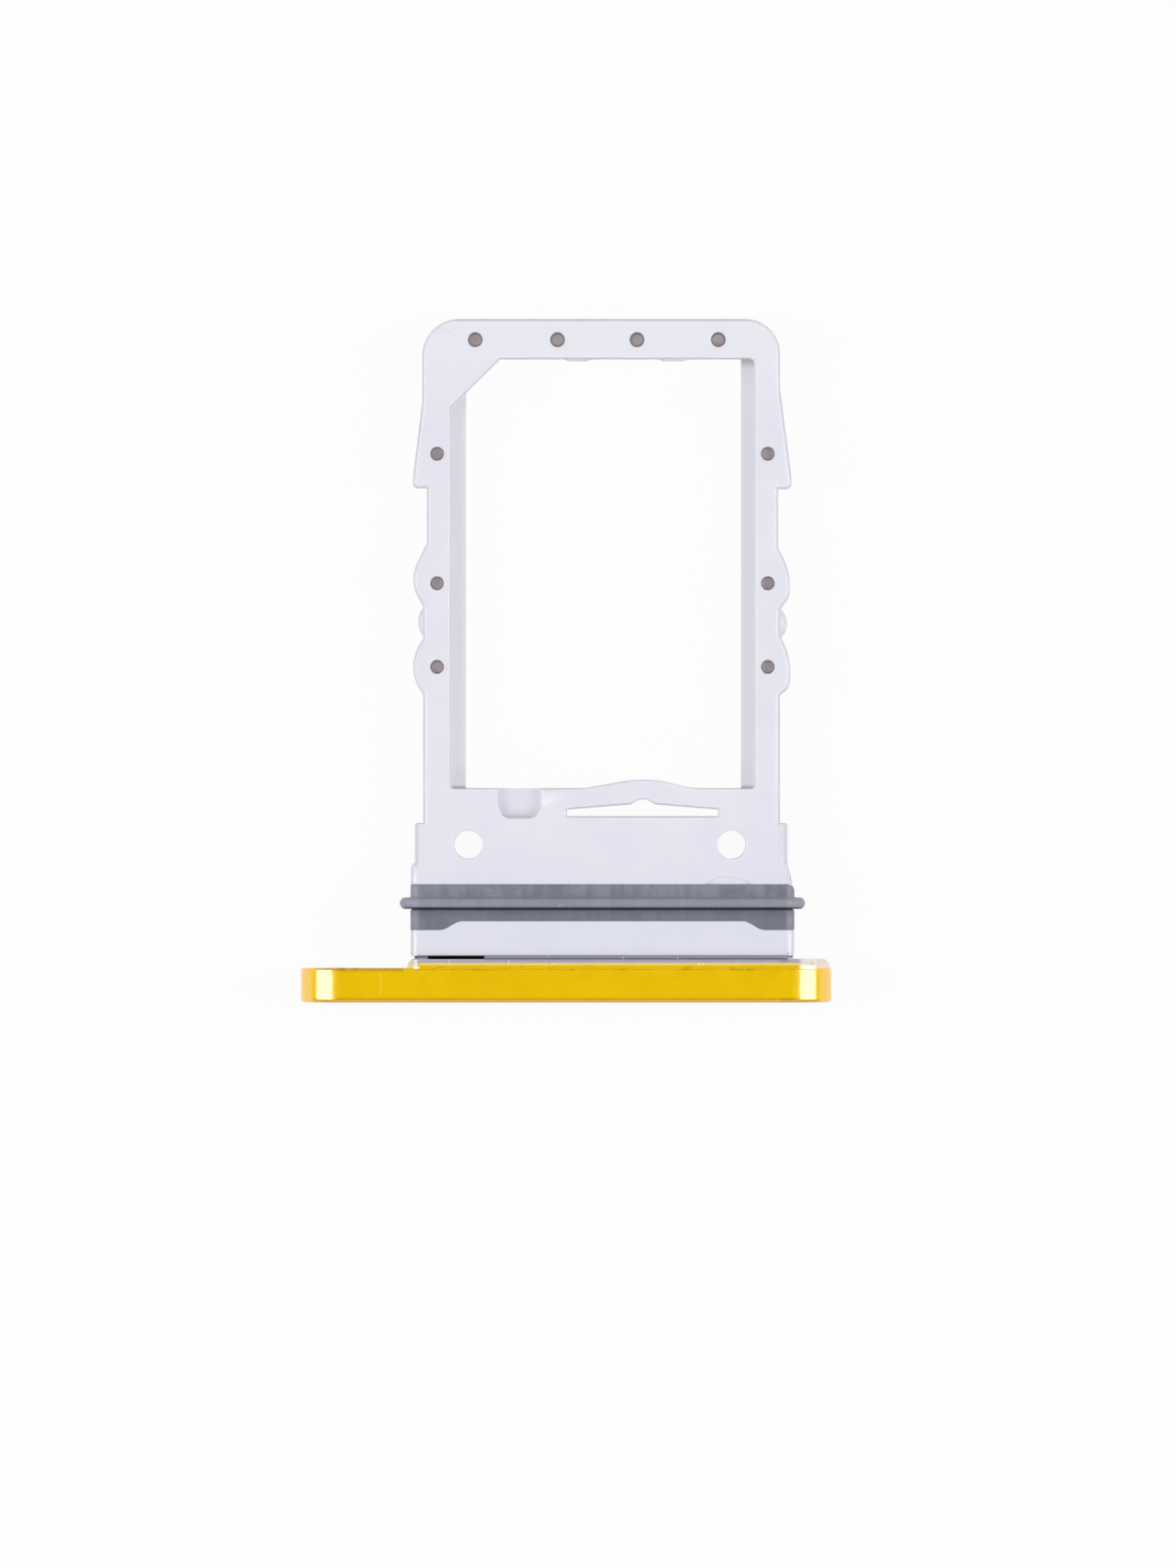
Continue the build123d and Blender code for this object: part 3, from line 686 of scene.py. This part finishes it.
def soften(obj):
    """Join a CAD node's faces at their borders, round its sharp edges and shade its bevels as rounds."""
    obj.data.shade_smooth()
    weld = obj.modifiers.new("join_faces", "WELD")
    weld.merge_threshold = JOIN_REACH * MM
    flat = obj.modifiers.new("flat_faces", "DECIMATE")
    flat.decimate_type = "DISSOLVE"
    flat.angle_limit = math.radians(FLAT_ANGLE)
    edge = obj.modifiers.new("edge_round", "BEVEL")
    edge.width = EDGE_ROUND * MM
    edge.segments = EDGE_SEGMENTS
    edge.limit_method = "ANGLE"
    edge.angle_limit = math.radians(SHARP_ANGLE)
    edge.use_clamp_overlap = True
    edge.miter_outer = "MITER_ARC"
    normals = obj.modifiers.new("even_shading", "WEIGHTED_NORMAL")
    normals.mode = "FACE_AREA"
    normals.weight = SHADING_WEIGHT
    normals.keep_sharp = False


# The seal's band is a sleeve round the neck, with its near edge scooped on both faces
NECK_ROUND = 0.22
LEAST_ROUND = 0.01
BAND_DEPTH = 0.21
BAND_PROUD = 0.008
BAND_EDGE = 0.03
BAND_EDGE_MIDDLE = 0.3
BAND_MIDDLE = 0.4
SCOOP_DEPTH = 0.26
SCOOP_FOOT = 4.74
SCOOP_HEAD = 4.02
FAR_CORNER = 5.36
FAR_CORNER_DEPTH = 0.14

# Its lip leans a little towards the cap, over a narrow groove
LIP_ROOT_NEAR = 1.775
LIP_ROOT_FAR = 2.085
LIP_TIP = 1.895
LIP_TIP_RADII = (0.168, 0.160)
LIP_TIP_TURN = (195, 20)
LIP_FOOT_GAP = 0.03
LIP_FOOT_RADII = (0.06, 0.05)
LIP_FOOT_TURN = (200, 270)
LIP_GROOVE = 0.060
LIP_GROOVE_WIDTH = 0.075

# How finely it is drawn: round the corners of the neck, along its long and short sides, and in section
QUARTER_TURN = math.pi / 2
CORNERS = ((1, 1), (-1, 1), (-1, -1), (1, -1))
CORNER_STEPS = 8
LONG_STEPS = 150
SHORT_STEPS = 10
TIP_STEPS = 12
FOOT_STEPS = 4


def corner_point(corner, rise, angle):
    """A point on a rounded corner of the neck's section, raised off it, as an X and a Z."""
    radius = max(NECK_ROUND + rise, LEAST_ROUND)
    middle_x = corner[0] * (NECK_REACH + rise - radius)
    middle_z = corner[1] * (NECK_TOP + rise - radius)
    return middle_x + radius * math.cos(angle), middle_z + radius * math.sin(angle)


def neck_ring(rise):
    """Points round the neck's section, raised off it, each an X and a Z."""
    points = []
    for index, corner in enumerate(CORNERS):
        start = index * QUARTER_TURN
        end = start + QUARTER_TURN
        for step in range(CORNER_STEPS):
            points.append(corner_point(corner, rise, start + QUARTER_TURN * step / CORNER_STEPS))
        first_x, first_z = corner_point(corner, rise, end)
        last_x, last_z = corner_point(CORNERS[(index + 1) % len(CORNERS)], rise, end)
        steps = LONG_STEPS if index % 2 == 0 else SHORT_STEPS
        for step in range(steps):
            share = step / steps
            points.append((first_x + (last_x - first_x) * share, first_z + (last_z - first_z) * share))
    return points


def smooth_step(value):
    """A soft rise from 0 to 1."""
    share = min(max(value, 0.0), 1.0)
    return share * share * (3 - 2 * share)


def scooped_start(x):
    """Where the band's near edge lies at a place across the neck."""
    return SEAL_START + SCOOP_DEPTH * smooth_step((SCOOP_FOOT - abs(x)) / (SCOOP_FOOT - SCOOP_HEAD))


def rounded_end(x):
    """Where the band's far edge lies: it is rounded off at the right-hand side."""
    share = (x - FAR_CORNER) / (NECK_REACH - FAR_CORNER)
    share = min(max(share, 0.0), 1.0)
    return SEAL_END - FAR_CORNER_DEPTH * (1 - math.sqrt(1 - share * share))


def arc(centre, radii, turn, steps):
    """Points on part of an ellipse, each a Y and a rise. It turns between two angles in degrees."""
    points = []
    for step in range(steps + 1):
        angle = math.radians(turn[0] + (turn[1] - turn[0]) * step / steps)
        points.append((centre[0] + radii[0] * math.cos(angle), centre[1] + radii[1] * math.sin(angle)))
    return points


def lip_section():
    """The lip and its groove, from the near side to the far side, each point a Y and a rise."""
    groove_near = LIP_ROOT_NEAR - LIP_GROOVE_WIDTH
    points = [(groove_near - BAND_EDGE, BAND_PROUD), (groove_near, BAND_PROUD - LIP_GROOVE / 3)]
    points += [(LIP_ROOT_NEAR - LIP_GROOVE_WIDTH / 2, -LIP_GROOVE), (LIP_ROOT_NEAR, -LIP_GROOVE / 2)]
    points += arc((LIP_TIP, LIP_RISE - LIP_TIP_RADII[1]), LIP_TIP_RADII, LIP_TIP_TURN, TIP_STEPS)
    foot = (LIP_ROOT_FAR + LIP_FOOT_GAP, LIP_FOOT_RADII[1] + BAND_PROUD)
    points += arc(foot, LIP_FOOT_RADII, LIP_FOOT_TURN, FOOT_STEPS)
    return points


def seal_section(start, end):
    """The seal's whole section, anticlockwise, from its near inner edge to its far inner edge."""
    edge_middle = BAND_EDGE * BAND_EDGE_MIDDLE
    points = [(start, -BAND_DEPTH), (start, -BAND_EDGE)]
    points += [(start + edge_middle, -edge_middle), (start + BAND_EDGE, BAND_PROUD)]
    points += [(start + (LIP_ROOT_NEAR - start) * BAND_MIDDLE, BAND_PROUD)]
    points += lip_section()
    points += [((end + LIP_ROOT_FAR) / 2, BAND_PROUD), (end - BAND_EDGE, BAND_PROUD)]
    points += [(end - edge_middle, -edge_middle), (end, -BAND_EDGE)]
    points += [(end, -BAND_DEPTH)]
    return points


def make_seal():
    """The silicone sleeve and its lip, swept round the neck."""
    mesh = bmesh.new()
    sections = len(seal_section(SEAL_START, SEAL_END))
    rings = []
    for index in range(sections):
        ring = []
        rise = seal_section(SEAL_START, SEAL_END)[index][1]
        for x, z in neck_ring(rise):
            y = seal_section(scooped_start(x), rounded_end(x))[index][0]
            ring.append(mesh.verts.new((x * MM, y * MM, z * MM)))
        rings.append(ring)
    count = len(rings[0])
    for index in range(sections):
        here, after = rings[index], rings[(index + 1) % sections]
        for place in range(count):
            following = (place + 1) % count
            mesh.faces.new((here[place], here[following], after[following], after[place]))
    bmesh.ops.recalc_face_normals(mesh, faces=mesh.faces)
    data = bpy.data.meshes.new("seal_ring")
    mesh.to_mesh(data)
    mesh.free()
    data.shade_smooth()
    ring = bpy.data.objects.new("seal_ring", data)
    bpy.context.scene.collection.objects.link(ring)
    dress(ring, silicone())
    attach(ring, "root")
    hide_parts("seal")
    return ring


def dress_frame():
    """Materials and softened edges for the CAD nodes that stay."""
    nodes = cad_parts
    dress(nodes["carrier"], moulded_plastic())
    soften(nodes["carrier"])
    dress(nodes["cap"], anodised_metal())
    dress(nodes["steel_insert"], rolled_steel())


def make_floor():
    """A wide white floor that the cap lies on."""
    bpy.ops.mesh.primitive_plane_add(size=FLOOR_SIDE * MM, location=(0, 0, FLOOR_HEIGHT * MM))
    floor = bpy.context.object
    floor.name = "floor"
    dress(floor, floor_white())


def area_light(name, place, target, length, breadth, radiance):
    """A rectangular soft light, turned to a target. Its length lies level and its breadth leans."""
    data = bpy.data.lights.new(name, "AREA")
    data.shape = "RECTANGLE"
    data.size = length * MM
    data.size_y = breadth * MM
    data.energy = radiance * math.pi * length * MM * breadth * MM
    light = bpy.data.objects.new(name, data)
    light.location = Vector(place) * MM
    direction = (Vector(target) - Vector(place)).normalized()
    light.rotation_mode = "QUATERNION"
    light.rotation_quaternion = direction.to_track_quat("-Z", "Y")
    bpy.context.scene.collection.objects.link(light)


def make_lights():
    """The side softboxes with their glow, and the dimmer ones past both ends."""
    middle = (CAMERA_X, (CAP_LOW.y + CARRIER_HIGH.y) / 2 / MM, 0.0)
    for side, name in ((-1, "left_softbox"), (1, "right_softbox")):
        place = (middle[0] + side * SIDE_DISTANCE, middle[1], SIDE_HEIGHT)
        area_light(name, place, middle, SIDE_LENGTH, SIDE_BREADTH, SIDE_RADIANCE)
        behind = (middle[0] + side * SIDE_DISTANCE * GLOW_BEHIND, middle[1], SIDE_HEIGHT * GLOW_BEHIND)
        area_light(name + "_glow", behind, middle, GLOW_LENGTH, GLOW_BREADTH, GLOW_RADIANCE)
    for side, name in ((1, "far_softbox"), (-1, "near_softbox")):
        place = (middle[0], middle[1] + side * END_DISTANCE, END_HEIGHT)
        area_light(name, place, middle, END_LENGTH, END_BREADTH, END_RADIANCE)


def make_surround():
    """An even grey world that the camera sees as white."""
    world = bpy.data.worlds.new("surround")
    bpy.context.scene.world = world
    world.use_nodes = True
    tree = world.node_tree
    tree.nodes.clear()
    seen = node(tree, "ShaderNodeLightPath").outputs["Is Camera Ray"]
    strength = remap(tree, seen, 0.0, 1.0, SURROUND, 1.0)
    light = node(tree, "ShaderNodeBackground", {"Color": (1.0, 1.0, 1.0, 1.0), "Strength": strength})
    node(tree, "ShaderNodeOutputWorld", {"Surface": light.outputs["Background"]})


def make_camera():
    """The camera over the tray, which frames the picture as the photograph does."""
    data = bpy.data.cameras.new("camera")
    data.sensor_fit = "VERTICAL"
    data.sensor_height = SENSOR
    data.sensor_width = SENSOR
    data.lens = SENSOR * CAMERA_RISE / PICTURE_LENGTH
    data.clip_start = MM
    data.clip_end = CAMERA_REACH * MM
    camera = bpy.data.objects.new("camera", data)
    camera.location = (CAMERA_X * MM, CAMERA_Y * MM, (NECK_TOP + CAMERA_RISE) * MM)
    bpy.context.scene.collection.objects.link(camera)
    bpy.context.scene.camera = camera


dress_frame()
make_seal()
make_floor()
make_lights()
make_surround()
make_camera()
bpy.context.scene.view_settings.view_transform = "Standard"
